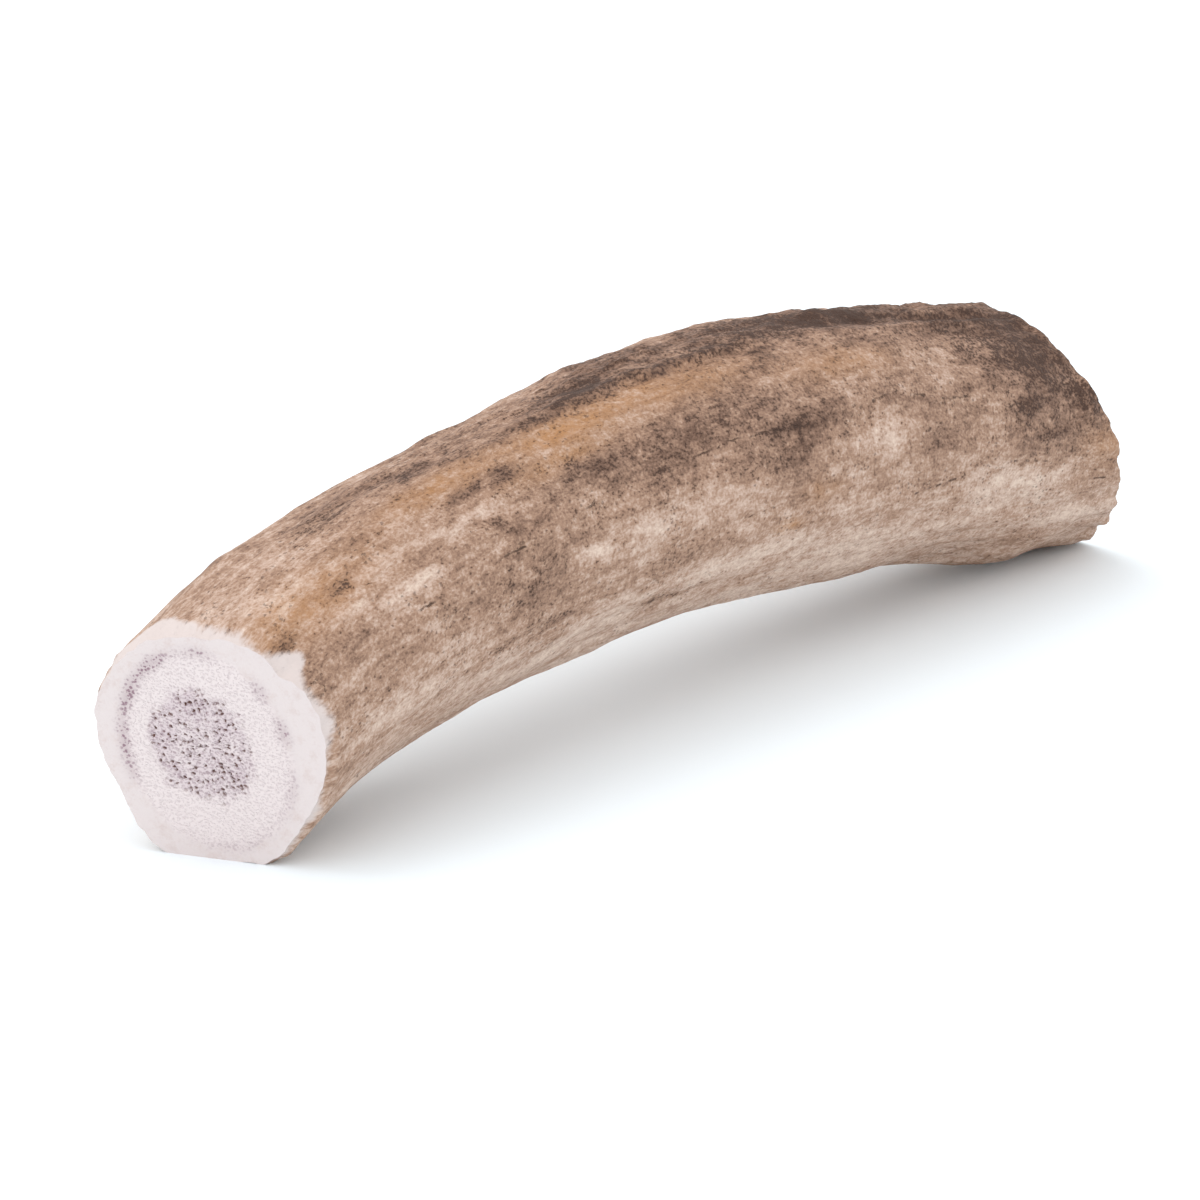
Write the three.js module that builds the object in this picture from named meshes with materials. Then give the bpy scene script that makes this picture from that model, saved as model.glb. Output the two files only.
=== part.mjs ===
// Elk antler: a sawn length of main beam, resting on its two ends with the bend arching upwards.
// Millimetres, +Z up, +X from the front sawn face to the back one, origin on the ground under the middle.
import * as THREE from "three";

const radians = THREE.MathUtils.degToRad;
const { lerp, smoothstep, clamp } = THREE.MathUtils;

// The axis is a Bezier curve of this span along X. Its plane leans from upright towards +Y.
const AXIS_SPAN = 240;
const AXIS_HEIGHTS = [0, 26.0, 17.8, 3.3];
const AXIS_LEAN = radians(20);
const FRONT_CENTRE = new THREE.Vector3(-118.7, -4.1, 18.1);

// Mean radius of the beam, as the control values of a Bezier curve over the axis.
const BEAM_RADII = [18.9, 19.6, 20.1, 25.4, 23.7, 21.1];

// Where each saw plane meets the axis, and how far it turns from square: to the left, and back at the top.
const FRONT_SAW = { at: 0, left: radians(10), back: radians(4) };
const BACK_SAW = { at: 229.5, left: radians(-19), back: radians(-34) };
const FRONT_BEVEL = { along: 2.2, inward: 0.9 };
const BACK_BEVEL = { along: 1.2, inward: 0.5 };

// Long ridges and flats. Angles run from the left flank (0) over the crown (90) to the right flank (180).
const RIDGES = [
  { angle: 40, halfWidth: 24, front: 0.7, back: 0.5 },
  { angle: 74, halfWidth: 11, front: 0.2, back: 0.8 },
  { angle: 92, halfWidth: 9, front: -0.3, back: -0.9 },
  { angle: 112, halfWidth: 12, front: -0.6, back: 0.6 },
  { angle: 186, halfWidth: 26, front: 0.9, back: 0.4 },
  { angle: 228, halfWidth: 20, front: -0.4, back: -0.3 },
  { angle: 270, halfWidth: 15, front: 1.5, back: 0.3 },
  { angle: 310, halfWidth: 19, front: 1.7, back: 0.5 },
  { angle: 350, halfWidth: 16, front: -0.4, back: -0.4 },
];
const RIDGE_WANDER = { degrees: 5, wavelength: 170 };

// Low swells on the beam: where along it, at what angle, how long, how wide in degrees and how high.
const SWELLS = [
  { at: 20, angle: 250, length: 18, width: 26, height: -0.9 },
  { at: 20, angle: 62, length: 14, width: 22, height: 0.5 },
  { at: 36, angle: 266, length: 20, width: 24, height: -0.6 },
  { at: 76, angle: 77, length: 26, width: 30, height: -1.5 },
  { at: 110, angle: 266, length: 16, width: 24, height: -0.5 },
  { at: 140, angle: 200, length: 34, width: 30, height: 0.7 },
  { at: 149, angle: 80, length: 17, width: 24, height: 0.8 },
  { at: 150, angle: 272, length: 36, width: 30, height: -0.6 },
  { at: 178, angle: 272, length: 12, width: 28, height: -0.7 },
  { at: 186, angle: 150, length: 26, width: 26, height: -0.5 },
  { at: 200, angle: 108, length: 20, width: 22, height: -0.6 },
  { at: 213, angle: 274, length: 13, width: 26, height: 1.4 },
  { at: 241, angle: 306, length: 18, width: 20, height: 1.4 },
];

// The back end is cut through the burr, where the beam ends in a rim of small pearls.
const PEARLS = { count: 23, reach: 13, height: 0.85 };

// A chip out of the front rim, high on the right.
const CHIP = { angle: 156, width: 12, along: 6.5, depth: 1.0 };

const SECTION_SIDES = 96;
const BEAM_STEPS = 44;
const END_CROWDING = 0.35;

const UP_IN_BEND = new THREE.Vector3(0, Math.sin(AXIS_LEAN), Math.cos(AXIS_LEAN));
const SIDE = new THREE.Vector3(0, Math.cos(AXIS_LEAN), -Math.sin(AXIS_LEAN));

// Value of a Bezier curve with evenly spaced control values.
function bezier(controls, share) {
  let values = controls;
  while (values.length > 1) {
    values = values.slice(1).map((value, place) => lerp(values[place], value, share));
  }
  return values[0];
}

// Position of the axis and the directions along it and up to its crown, at a distance along X.
function axisAt(along) {
  const share = along / AXIS_SPAN;
  const steps = AXIS_HEIGHTS.slice(1).map((height, place) => height - AXIS_HEIGHTS[place]);
  const slope = Math.atan((steps.length * bezier(steps, share)) / AXIS_SPAN);
  const centre = FRONT_CENTRE.clone();
  centre.x += along;
  centre.addScaledVector(UP_IN_BEND, bezier(AXIS_HEIGHTS, share));
  const tangent = UP_IN_BEND.clone().multiplyScalar(Math.sin(slope));
  tangent.x += Math.cos(slope);
  const crown = UP_IN_BEND.clone().multiplyScalar(Math.cos(slope));
  crown.x -= Math.sin(slope);
  return { centre, tangent, crown };
}

// Difference between two angles in degrees, from -180 to 180.
function turnBetween(a, b) {
  return THREE.MathUtils.euclideanModulo(a - b + 180, 360) - 180;
}

function bump(distance, halfWidth) {
  return Math.exp(-((distance / halfWidth) ** 2));
}

function ridgeHeight(along, degrees) {
  const share = clamp(along / AXIS_SPAN, 0, 1);
  let height = 0;
  RIDGES.forEach((ridge, order) => {
    const wave = Math.sin((2 * Math.PI * along) / RIDGE_WANDER.wavelength + order);
    const off = turnBetween(degrees, ridge.angle + RIDGE_WANDER.degrees * wave);
    height += lerp(ridge.front, ridge.back, share) * bump(off, ridge.halfWidth);
  });
  return height;
}

function swellHeight(along, degrees) {
  return SWELLS.reduce((height, swell) => {
    const off = turnBetween(degrees, swell.angle);
    return height + swell.height * bump(along - swell.at, swell.length) * bump(off, swell.width);
  }, 0);
}

function beamRadius(along, degrees) {
  const mean = bezier(BEAM_RADII, along / AXIS_SPAN);
  return mean + ridgeHeight(along, degrees) + swellHeight(along, degrees);
}

function pearlHeight(fromBack, degrees) {
  const angle = radians(degrees);
  const uneven = 0.65 + 0.35 * Math.sin(3 * angle + 1) * Math.sin(5 * angle);
  const pearl = Math.abs(Math.cos((PEARLS.count * angle) / 2 + 0.6 * Math.sin(2 * angle)));
  return PEARLS.height * uneven * (pearl - 0.5) * (1 - smoothstep(fromBack, 0, PEARLS.reach));
}

// Depth lost to the bevel round each sawn face, and to the chip in the front rim.
function rimLoss(fromFront, fromBack, degrees) {
  const front = FRONT_BEVEL.inward * (1 - smoothstep(fromFront, 0, FRONT_BEVEL.along));
  const back = BACK_BEVEL.inward * (1 - smoothstep(fromBack, 0, BACK_BEVEL.along));
  const chipEdge = 1 - Math.abs(turnBetween(degrees, CHIP.angle)) / CHIP.width;
  const chip = CHIP.depth * clamp(chipEdge, 0, 1) * clamp(1 - fromFront / CHIP.along, 0, 1);
  return front + back + chip;
}

// A point of the skin, at its distances from the two sawn rims.
function skinPoint(along, degrees, fromFront, fromBack) {
  const angle = radians(degrees);
  const { centre, crown } = axisAt(along);
  const rim = pearlHeight(fromBack, degrees) - rimLoss(fromFront, fromBack, degrees);
  const radius = beamRadius(along, degrees) + rim;
  const point = centre.addScaledVector(SIDE, radius * Math.cos(angle));
  point.addScaledVector(crown, radius * Math.sin(angle));
  // The ends rest on worn flats where they meet the ground.
  point.z = Math.max(point.z, 0);
  return point;
}

// Where a saw plane crosses the skin at one angle: the rim slides along the beam until it lies in the plane.
function sawAlong(saw, degrees, fromFront, fromBack) {
  const { centre, tangent, crown } = axisAt(saw.at);
  const normal = tangent.addScaledVector(crown, -Math.tan(saw.back)).addScaledVector(SIDE, Math.tan(saw.left));
  let along = saw.at;
  for (let pass = 0; pass < 8; pass++) {
    along -= skinPoint(along, degrees, fromFront, fromBack).sub(centre).dot(normal);
  }
  return along;
}

// Steps crowd towards both rims, where the bevels and pearls are.
function stepShare(step) {
  const even = step / BEAM_STEPS;
  return even - (END_CROWDING / (2 * Math.PI)) * Math.sin(4 * Math.PI * even) * 0.5 -
    (END_CROWDING / (2 * Math.PI)) * Math.sin(2 * Math.PI * even);
}

function antlerGeometry() {
  const positions = [];
  const triangles = [];
  for (let step = 0; step <= BEAM_STEPS; step++) {
    for (let side = 0; side < SECTION_SIDES; side++) {
      const degrees = (side * 360) / SECTION_SIDES;
      const front = sawAlong(FRONT_SAW, degrees, 0, Infinity);
      const back = sawAlong(BACK_SAW, degrees, Infinity, 0);
      const along = lerp(front, back, stepShare(step));
      positions.push(...skinPoint(along, degrees, along - front, back - along).toArray());
    }
  }
  const ringStart = (step) => step * SECTION_SIDES;
  for (let step = 0; step < BEAM_STEPS; step++) {
    for (let side = 0; side < SECTION_SIDES; side++) {
      const next = (side + 1) % SECTION_SIDES;
      const a = ringStart(step) + side;
      const b = ringStart(step) + next;
      const c = ringStart(step + 1) + next;
      const d = ringStart(step + 1) + side;
      triangles.push(a, b, c, a, c, d);
    }
  }
  const frontHub = positions.length / 3;
  positions.push(...axisAt(FRONT_SAW.at).centre.toArray());
  const backHub = frontHub + 1;
  positions.push(...axisAt(BACK_SAW.at).centre.toArray());
  for (let side = 0; side < SECTION_SIDES; side++) {
    const next = (side + 1) % SECTION_SIDES;
    triangles.push(frontHub, next, side);
    triangles.push(backHub, ringStart(BEAM_STEPS) + side, ringStart(BEAM_STEPS) + next);
  }
  const geometry = new THREE.BufferGeometry();
  geometry.setAttribute("position", new THREE.Float32BufferAttribute(positions, 3));
  geometry.setIndex(triangles);
  geometry.computeVertexNormals();
  return geometry;
}

const antler = new THREE.Mesh(
  antlerGeometry(),
  new THREE.MeshStandardMaterial({ color: 0xa58d78, roughness: 0.75, metalness: 0 }),
);
antler.name = "antler";

const part = new THREE.Group();
part.add(antler);
export default part;
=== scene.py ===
"""Elk antler: a sawn length of main beam with weathered bark, resting on its two ends on a pale floor."""
import math

import bpy
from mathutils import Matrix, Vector


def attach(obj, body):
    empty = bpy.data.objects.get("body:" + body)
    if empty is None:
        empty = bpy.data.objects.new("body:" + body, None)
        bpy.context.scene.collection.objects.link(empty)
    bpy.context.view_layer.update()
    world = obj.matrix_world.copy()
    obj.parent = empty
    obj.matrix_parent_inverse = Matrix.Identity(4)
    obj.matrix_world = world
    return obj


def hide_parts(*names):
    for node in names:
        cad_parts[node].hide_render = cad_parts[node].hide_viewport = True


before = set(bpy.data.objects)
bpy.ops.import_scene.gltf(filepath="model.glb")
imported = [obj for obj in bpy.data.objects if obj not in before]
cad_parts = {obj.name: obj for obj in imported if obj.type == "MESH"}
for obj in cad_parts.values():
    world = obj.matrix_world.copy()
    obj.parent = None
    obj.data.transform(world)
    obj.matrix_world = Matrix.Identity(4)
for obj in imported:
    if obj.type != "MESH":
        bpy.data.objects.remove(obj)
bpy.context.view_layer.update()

# The beam is worked out in millimetres and scaled to metres as the last step.
MILLIMETRE = 0.001

# The axis is a Bezier curve of this span along X. Its plane leans from upright towards +Y.
AXIS_SPAN = 240.0
AXIS_HEIGHTS = (0.0, 26.0, 17.8, 3.3)
AXIS_LEAN = math.radians(20)
FRONT_CENTRE = Vector((-118.7, -4.1, 18.1))
UP_IN_BEND = Vector((0, math.sin(AXIS_LEAN), math.cos(AXIS_LEAN)))
SIDE = Vector((0, math.cos(AXIS_LEAN), -math.sin(AXIS_LEAN)))

# Mean radius of the beam, as the control values of a Bezier curve over the axis.
BEAM_RADII = (18.9, 19.6, 20.1, 25.4, 23.7, 21.1)
MIDDLE_RADIUS = 20.0

# Where each saw plane meets the axis, and how far it turns from square: to the left, and back at the top.
FRONT_SAW = {"at": 0.0, "left": math.radians(10), "back": math.radians(4)}
BACK_SAW = {"at": 229.5, "left": math.radians(-19), "back": math.radians(-34)}
SAW_PASSES = 5
FAR_OFF = 1000.0

# Long ridges and flats: angle, half width, height at the front, height at the back.
# Angles run from the left flank (0) over the crown (90) to the right flank (180).
RIDGES = (
    (40, 24, 0.7, 0.5),
    (74, 11, 0.2, 0.8),
    (92, 9, -0.3, -0.9),
    (112, 12, -0.6, 0.6),
    (186, 26, 0.9, 0.4),
    (228, 20, -0.4, -0.3),
    (270, 15, 1.5, 0.3),
    (310, 19, 1.7, 0.5),
    (350, 16, -0.4, -0.4),
)
RIDGE_WANDER = 5.0
RIDGE_WAVELENGTH = 170.0

# Low swells: where along the beam, at what angle, how long, how wide in degrees and how high.
SWELLS = (
    (20, 250, 18, 26, -0.9),
    (20, 62, 14, 22, 0.5),
    (36, 266, 20, 24, -0.6),
    (76, 77, 26, 30, -1.5),
    (110, 266, 16, 24, -0.5),
    (140, 200, 34, 30, 0.7),
    (149, 80, 17, 24, 0.8),
    (150, 272, 36, 30, -0.6),
    (178, 272, 12, 28, -0.7),
    (186, 150, 26, 26, -0.5),
    (200, 108, 20, 22, -0.6),
    (213, 274, 13, 26, 1.4),
    (241, 306, 18, 20, 1.4),
)

# Small knobs, hollows and creases in the bark, in the same order of values.
KNOBS = (
    (22, 78, 3, 9, 0.35),
    (76, 79, 4, 9, 0.35),
    (95, 124, 16, 4, 0.5),
    (95, 131, 18, 3.5, -0.4),
    (108, 82, 5, 9, 0.5),
    (125, 126, 16, 3.5, 0.45),
    (125, 132, 18, 3.5, -0.4),
    (160, 104, 16, 5, -0.5),
    (188, 134, 34, 4, 0.9),
    (190, 126, 32, 4, -0.9),
    (2, 48, 2.5, 3, -0.5),
    (93, 101, 16, 14, -0.5),
    (23, 82, 12, 16, 0.5),
    (190, 261, 16, 14, -0.9),
    (205, 264, 8, 12, -0.5),
    (216, 257, 6, 12, 0.6),
)

# Places where the rims stand out or are worn away, in the same order of values.
WORN_PLACES = (
    (0, 330, 12, 24, 1.0),
    (239, 254, 7, 10, -0.5),
)

# Dark stains on the bark, in the same order of values, with a strength in place of the height.
DARK_STAINS = (
    (145, 112, 72, 17, 0.55),
    (212, 152, 22, 36, 0.36),
    (112, 166, 44, 14, 0.24),
    (36, 106, 8, 9, 0.35),
    (52, 110, 7, 10, 0.35),
    (95, 119, 8, 10, 0.5),
    (78, 126, 14, 3, 0.3),
    (120, 125, 22, 4, 0.4),
    (113, 84, 10, 8, 0.35),
    (145, 93, 12, 9, 0.3),
    (160, 121, 16, 8, 0.4),
    (195, 131, 20, 9, 0.45),
    (135, 136, 3, 5, 0.3),
    (165, 141, 16, 8, 0.2),
    (191, 153, 10, 14, 0.3),
    (205, 158, 9, 20, 0.3),
    (218, 177, 6, 11, 0.4),
    (196, 182, 6, 6, 0.45),
    (64, 145, 3, 5, 0.55),
    (55, 141, 4, 2, 0.5),
    (22, 145, 5, 3, 0.4),
    (130, 143, 5, 3, 0.25),
    (130, 174, 8, 4, 0.4),
    (122, 184, 11, 7, 0.22),
    (80, 160, 9, 4, 0.25),
    (53, 160, 4, 2, 0.35),
    (168, 189, 6, 5, 0.28),
    (60, 195, 15, 12, 0.22),
    (48, 214, 7, 3, 0.45),
    (65, 217, 9, 4, 0.28),
    (95, 235, 5, 6, 0.4),
    (106, 235, 8, 3, 0.35),
    (95, 213, 8, 6, 0.25),
    (8, 187, 6, 4, 0.28),
    (6, 149, 4, 7, 0.35),
    (201, 196, 9, 6, 0.25),
    (205, 250, 16, 9, 0.2),
    (60, 40, 22, 10, 0.3),
    (110, 55, 30, 9, 0.38),
    (175, 45, 24, 12, 0.32),
    (215, 20, 12, 16, 0.36),
    (140, 10, 16, 6, 0.28),
    (90, 5, 12, 5, 0.32),
    (40, 350, 14, 7, 0.28),
    (190, 335, 20, 8, 0.28),
    (30, 62, 12, 8, 0.32),
    (130, 300, 18, 6, 0.25),
    (118, 118, 14, 8, -0.2),
)

# Pale places on the bark, in the same order of values.
PALE_STAINS = (
    (110, 240, 150, 34, 0.2),
    (10, 128, 24, 44, 0.14),
    (35, 165, 6, 3, 0.35),
    (47, 152, 6, 2.5, 0.25),
    (20, 207, 20, 12, 0.14),
    (85, 193, 18, 7, 0.16),
    (72, 193, 4, 4, 0.2),
    (120, 226, 20, 5, 0.14),
    (136, 248, 28, 11, 0.1),
    (153, 186, 9, 7, 0.14),
    (190, 215, 26, 9, 0.14),
    (222, 235, 9, 6, 0.24),
    (175, 166, 8, 7, 0.15),
    (54, 94, 5, 9, 0.25),
    (120, 328, 120, 24, 0.2),
    (70, 20, 16, 7, 0.18),
    (150, 30, 18, 7, 0.18),
    (205, 50, 10, 8, 0.16),
    (15, 20, 14, 20, 0.16),
    (100, 285, 120, 20, 0.12),
)

# Golden places on the bark, in the same order of values.
GOLDEN_STAINS = (
    (14, 141, 16, 13, 0.6),
    (52, 132, 13, 7, 0.7),
    (80, 137, 12, 8, 0.85),
    (108, 138, 22, 10, 0.65),
    (75, 151, 12, 5, 0.5),
    (150, 150, 14, 8, 0.45),
    (126, 213, 3, 3, 0.8),
    (135, 202, 5, 4, 0.4),
    (225, 200, 8, 10, 0.35),
    (85, 48, 18, 8, 0.7),
    (160, 58, 16, 8, 0.6),
    (35, 30, 14, 9, 0.5),
    (200, 5, 12, 8, 0.4),
)

# Bare bone along the front rim, as places at the rim: the reach in mm is the last value.
BARE_PATCHES = (
    (0, 0, 1, 400, 1.0),
    (0, 156, 1, 8, 4.4),
    (0, 84, 1, 20, 4.0),
    (0, 180, 1, 14, 1.0),
    (0, 122, 1, 12, 0.7),
)

# Thin weathering cracks in the bark: from along, degrees to along, degrees.
CRACKS = (
    (92, 174, 111, 172.5),
    (111, 171.5, 133, 174),
    (70, 176, 77, 174.5),
    (148, 172, 160, 168),
    (164, 170, 170, 172.5),
    (172, 174, 181, 174),
    (113, 204.5, 121, 203.5),
    (163, 212, 178, 208),
    (95, 207, 99, 206),
    (190.5, 180.5, 195, 179.5),
    (220, 216.5, 228, 216),
    (50, 175, 58, 176.5),
    (193, 204, 206, 205.5),
    (29, 174, 34, 175),
    (60, 12, 76, 9),
    (100, 24, 122, 27),
    (135, 8, 150, 5),
    (165, 20, 184, 23),
    (82, 345, 95, 348),
    (190, 356, 204, 352),
    (120, 300, 136, 303),
    (70, 275, 84, 277),
    (150, 265, 166, 262),
)


# Sizes in mm, along the beam and across it, of what the relief is made of.
LUMP_SIZE = (24, 9)
GUTTER_SIZE = (45, 2.6)
CRUMPLE_SIZE = (11, 3.2)
WEAR_SIZE = (6, 3.4)
BURR_CELL = 6.5

# Heights in mm that the relief is scaled to, on the flanks and added on the crown.
LUMP_HEIGHT = 1.4
GUTTER_HEIGHTS = (0.6, 0.6)
CRUMPLE_HEIGHTS = (0.6, 3.0)
BURR_HEIGHT = 1.2
BURR_LEVEL = 0.45
RIM_FADE = 4.0

# The crumpled part of the crown: its angle and half width in degrees.
CROWN_ANGLE = 102.0
CROWN_HALF_WIDTH = 30.0

# From where to where along the beam the crumpled crown and the burr come in.
CROWN_START = (20.0, 100.0)
BURR_START = (185.0, 232.0)

# Stains wander off their places: the size of the wander, and how far it goes along and in degrees.
STAIN_WANDER_SIZE = (9, 6)
STAIN_WANDER = (10.0, 18.0)


class Number:
    """An output of a node. Arithmetic with it adds the node that works the result out."""

    def __init__(self, nodes, socket):
        self.nodes = nodes
        self.socket = socket

    def __add__(self, other):
        return self.nodes.math("ADD", self, other)

    def __sub__(self, other):
        return self.nodes.math("SUBTRACT", self, other)

    def __mul__(self, other):
        return self.nodes.math("MULTIPLY", self, other)

    def __truediv__(self, other):
        return self.nodes.math("DIVIDE", self, other)

    def __rsub__(self, other):
        return self.nodes.math("SUBTRACT", other, self)

    __radd__ = __add__
    __rmul__ = __mul__


class Nodes:
    """Short ways to add nodes to one tree, for geometry and for materials alike."""

    def __init__(self, tree):
        self.tree = tree

    def put(self, socket, value):
        """Links a node's output to a socket, or sets the socket to a plain value."""
        if isinstance(value, Number):
            self.tree.links.new(value.socket, socket)
        elif socket.type == "VECTOR" and isinstance(value, (int, float)):
            socket.default_value = (value, value, value)
        else:
            socket.default_value = value

    def add(self, kind, inputs, output=0, **settings):
        """Adds a node and returns one of its outputs."""
        node = self.tree.nodes.new(kind)
        for name, value in settings.items():
            setattr(node, name, value)
        for key, value in inputs.items():
            self.put(node.inputs[key], value)
        return Number(self, node.outputs[output])

    def math(self, operation, *values):
        """One step of arithmetic, on vectors where one of the values is a vector."""
        vectors = any(isinstance(value, Number) and value.socket.type == "VECTOR" for value in values)
        kind = "ShaderNodeVectorMath" if vectors else "ShaderNodeMath"
        return self.add(kind, dict(enumerate(values)), operation=operation)

    def dot(self, vector, other):
        inputs = {0: vector, 1: other}
        return self.add("ShaderNodeVectorMath", inputs, output=1, operation="DOT_PRODUCT")

    def length(self, vector):
        return self.add("ShaderNodeVectorMath", {0: vector}, output=1, operation="LENGTH")

    def vector(self, x, y, z):
        return self.add("ShaderNodeCombineXYZ", {0: x, 1: y, 2: z})

    def part(self, vector, axis):
        return self.add("ShaderNodeSeparateXYZ", {0: vector}, output=axis)

    def bell(self, distance):
        """A bell curve: 1 where the distance is 0, nearly 0 past 2."""
        return self.math("EXPONENT", distance * distance * -1.0)

    def turn(self, degrees, angle):
        """How far one angle is from another, from -180 to 180."""
        return self.math("WRAP", degrees - angle, 180.0, -180.0)

    def rise(self, value, low, high):
        """A smooth step from 0 at low to 1 at high."""
        inputs = {0: value, 1: low, 2: high, 3: 0.0, 4: 1.0}
        return self.add("ShaderNodeMapRange", inputs, interpolation_type="SMOOTHSTEP")

    def fall(self, value, low, high):
        """A smooth step from 1 at low to 0 at high."""
        inputs = {0: value, 1: low, 2: high, 3: 1.0, 4: 0.0}
        return self.add("ShaderNodeMapRange", inputs, interpolation_type="SMOOTHSTEP")

    def limit(self, value):
        return self.math("MINIMUM", self.math("MAXIMUM", value, 0.0), 1.0)

    def noise(self, vector, detail=2.0, roughness=0.5, output=0):
        """Noise from 0 to 1 with features about one unit wide."""
        inputs = {"Vector": vector, "Scale": 1.0, "Detail": detail, "Roughness": roughness}
        return self.add("ShaderNodeTexNoise", inputs, output=output, noise_dimensions="3D")

    def grain(self, place, size, **settings):
        """Noise round 0 with features of a size along the beam and across it."""
        along, across = size
        return self.noise(place * (1 / along, 1 / across, 1 / across), **settings) - 0.5

    def cells(self, vector, output="Distance", **settings):
        """Scattered cells about one unit wide: distance to the nearest middle, or its random colour."""
        inputs = {"Vector": vector, "Scale": 1.0}
        return self.add("ShaderNodeTexVoronoi", inputs, output=output, **settings)

    def weighted(self, start, weights, values):
        """A start value plus each named value times its weight."""
        total = start
        for name, weight in weights.items():
            total = total + values[name] * weight
        return total

    def curve(self, controls, share):
        """A Bezier curve with evenly spaced control values."""
        value = None
        for term in reversed(power_terms(controls)):
            value = term if value is None else share * value + term
        return value


def power_terms(controls):
    """The factors of each power of the share in a Bezier curve, lowest power first."""
    degree = len(controls) - 1
    terms = []
    for power in range(degree + 1):
        signs = [(-1) ** (power - place) * math.comb(power, place) for place in range(power + 1)]
        difference = sum(sign * control for sign, control in zip(signs, controls))
        terms.append(math.comb(degree, power) * difference)
    return terms


def power_sum(terms, share):
    return sum(term * share ** power for power, term in enumerate(terms))


def steps_between(controls):
    return [after - before for before, after in zip(controls, controls[1:])]


def axis_at(along):
    """Centre of the beam, and the directions along it and up to its crown."""
    share = along / AXIS_SPAN
    height = power_sum(power_terms(AXIS_HEIGHTS), share)
    steps = steps_between(AXIS_HEIGHTS)
    slope = power_sum(power_terms(steps), share) * len(steps) / AXIS_SPAN
    lean = math.atan(slope)
    centre = FRONT_CENTRE + Vector((along, 0, 0)) + UP_IN_BEND * height
    tangent = Vector((math.cos(lean), 0, 0)) + UP_IN_BEND * math.sin(lean)
    crown = Vector((-math.sin(lean), 0, 0)) + UP_IN_BEND * math.cos(lean)
    return centre, tangent, crown


def saw_normal(saw):
    """Along the beam from a saw plane, so that a step along the axis changes its product by one."""
    _, tangent, crown = axis_at(saw["at"])
    return tangent - crown * math.tan(saw["back"]) + SIDE * math.tan(saw["left"])


def straight_place(nodes, along, degrees):
    """A place on the beam as if it were straight and round, for patterns that follow it."""
    angle = degrees * math.radians(1)
    side = nodes.math("COSINE", angle) * MIDDLE_RADIUS
    crown = nodes.math("SINE", angle) * MIDDLE_RADIUS
    return nodes.vector(along, side, crown)


def new_group(name, inputs, outputs):
    """A geometry node group, with its inputs by name."""
    tree = bpy.data.node_groups.new(name, "GeometryNodeTree")
    for socket, kind, value in inputs:
        made = tree.interface.new_socket(socket, in_out="INPUT", socket_type="NodeSocket" + kind)
        if value is not None:
            made.default_value = value
    for socket, kind in outputs:
        tree.interface.new_socket(socket, in_out="OUTPUT", socket_type="NodeSocket" + kind)
    nodes = Nodes(tree)
    source = tree.nodes.new("NodeGroupInput")
    given = {socket: Number(nodes, source.outputs[socket]) for socket, kind, value in inputs}
    sink = tree.nodes.new("NodeGroupOutput")
    return nodes, given, sink


def call_group(nodes, tree, values, output):
    """Adds a node group to a tree, with some of its inputs given, and returns one of its outputs."""
    return nodes.add("GeometryNodeGroup", values, output=output, node_tree=tree)


def soft_spot_group():
    """Adds one soft spot on the skin to a sum: a bell curve along the beam times one round it."""
    names = ("Sum", "Along", "Degrees", "At", "Angle", "Length", "Width", "Height")
    inputs = [(name, "Float", 0.0) for name in names]
    nodes, given, sink = new_group("soft spot", inputs, [("Sum", "Float")])
    lengthways = nodes.bell((given["Along"] - given["At"]) / given["Length"])
    around = nodes.bell(nodes.turn(given["Degrees"], given["Angle"]) / given["Width"])
    nodes.put(sink.inputs["Sum"], given["Sum"] + lengthways * around * given["Height"])
    return nodes.tree


def long_ridge_group():
    """Adds one long ridge, which wanders a little round the beam, to a sum."""
    names = ("Sum", "Along", "Degrees", "Phase", "Angle", "Half Width", "Front Height", "Back Height")
    inputs = [(name, "Float", 0.0) for name in names]
    nodes, given, sink = new_group("long ridge", inputs, [("Sum", "Float")])
    wave = nodes.math("SINE", given["Along"] * (2 * math.pi / RIDGE_WAVELENGTH) + given["Phase"])
    off = nodes.turn(given["Degrees"], wave * RIDGE_WANDER + given["Angle"])
    share = nodes.limit(given["Along"] / AXIS_SPAN)
    height = given["Front Height"] + share * (given["Back Height"] - given["Front Height"])
    nodes.put(sink.inputs["Sum"], given["Sum"] + nodes.bell(off / given["Half Width"]) * height)
    return nodes.tree


SOFT_SPOT = soft_spot_group()
LONG_RIDGE = long_ridge_group()


def spots(nodes, along, degrees, places):
    """The sum of soft spots: each has its place along, angle, length, width and height."""
    total = 0.0
    for at, angle, length, width, height in places:
        values = {"Sum": total, "Along": along, "Degrees": degrees, "At": at, "Angle": angle}
        size = {"Length": length, "Width": width, "Height": height}
        total = call_group(nodes, SOFT_SPOT, {**values, **size}, "Sum")
    return total


def ridges(nodes, along, degrees):
    total = 0.0
    for phase, (angle, half_width, front, back) in enumerate(RIDGES):
        values = {"Sum": total, "Along": along, "Degrees": degrees, "Phase": phase, "Angle": angle}
        heights = {"Half Width": half_width, "Front Height": front, "Back Height": back}
        total = call_group(nodes, LONG_RIDGE, {**values, **heights}, "Sum")
    return total


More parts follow.
